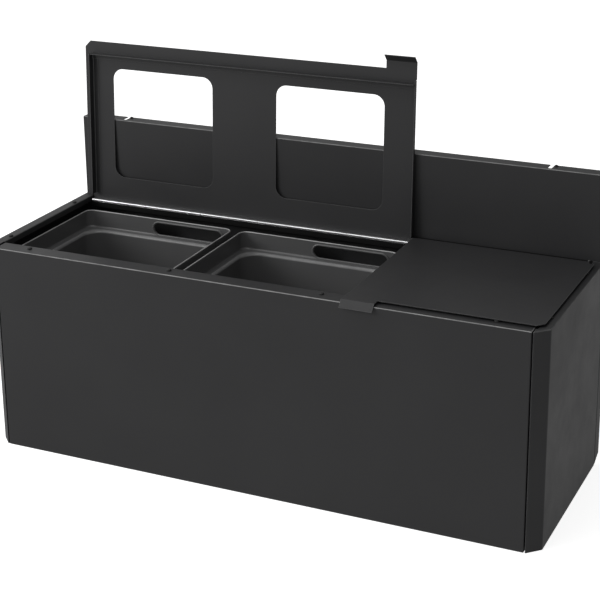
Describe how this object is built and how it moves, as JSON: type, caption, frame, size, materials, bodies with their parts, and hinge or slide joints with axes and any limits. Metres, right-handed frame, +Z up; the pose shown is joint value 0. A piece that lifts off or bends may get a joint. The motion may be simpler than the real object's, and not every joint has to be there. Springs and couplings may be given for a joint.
{
  "type": "waste sorting cabinet",
  "caption": "Low wide steel waste sorting cabinet: raised back panel, two rear-hinged lids, one with windows and standing open, and lift-out plastic bins.",
  "frame": {"origin": "middle of the footprint, on the floor", "axes": "+X to the right seen from the user, along the cabinet; +Y towards the raised back panel; +Z up"},
  "size_m": [1, 0.37, 0.6907],
  "materials": {
    "coated_steel": "fine matte black powder coat",
    "bin_plastic": "satin dark grey moulded plastic",
    "rubber": "matte black rubber",
    "hinge_steel": "bare brushed stainless steel"
  },
  "bodies": {
    "cabinet": {"back_panel": "coated_steel", "base_panel": "coated_steel", "double_lid_hinge_pin": "hinge_steel", "double_lid_rail_leaf": "hinge_steel", "front_panel": "coated_steel", "front_rim_bumper_1": "rubber", "front_rim_bumper_2": "rubber", "front_rim_bumper_3": "rubber", "front_rim_bumper_4": "rubber", "hinge_rail": "coated_steel", "left_bin_guide": "coated_steel", "left_flange_plug": "rubber", "left_rail_screw": "hinge_steel", "left_rim_bumper_1": "rubber", "left_rim_bumper_2": "rubber", "left_side_panel": "coated_steel", "right_bin_guide": "coated_steel", "right_flange_plug": "rubber", "right_rail_screw": "hinge_steel", "right_rim_bumper_1": "rubber", "right_rim_bumper_2": "rubber", "right_side_panel": "coated_steel", "single_lid_hinge_pin": "hinge_steel", "single_lid_rail_leaf": "hinge_steel"},
    "double_lid_body": {"double_lid": "coated_steel", "double_lid_front_skirt": "coated_steel", "double_lid_side_skirt": "coated_steel", "double_lid_hinge_leaf": "hinge_steel"},
    "single_lid_body": {"single_lid": "coated_steel", "single_lid_front_skirt": "coated_steel", "single_lid_side_skirt": "coated_steel", "single_lid_hinge_leaf": "hinge_steel"},
    "left_bin_body": {"left_bin": "bin_plastic"},
    "middle_bin_body": {"middle_bin": "bin_plastic"},
    "right_bin_body": {"right_bin": "bin_plastic"}
  },
  "joints": [
    {"name": "double_lid_hinge", "type": "hinge", "parent": "cabinet", "child": "double_lid_body", "pos_m": [0, 0.141, 0.365], "axis": [1, 0, 0], "range_deg": [0, 92.5]},
    {"name": "single_lid_hinge", "type": "hinge", "parent": "cabinet", "child": "single_lid_body", "pos_m": [0, 0.141, 0.365], "axis": [1, 0, 0], "range_deg": [-92.5, 0]},
    {"name": "left_bin_lift", "type": "slide", "parent": "cabinet", "child": "left_bin_body", "axis": [0, 0, -1], "range_m": [-0.37, 0]},
    {"name": "middle_bin_lift", "type": "slide", "parent": "cabinet", "child": "middle_bin_body", "axis": [0, 0, -1], "range_m": [-0.37, 0]},
    {"name": "right_bin_lift", "type": "slide", "parent": "cabinet", "child": "right_bin_body", "axis": [0, 0, -1], "range_m": [-0.006, 0]}
  ]
}
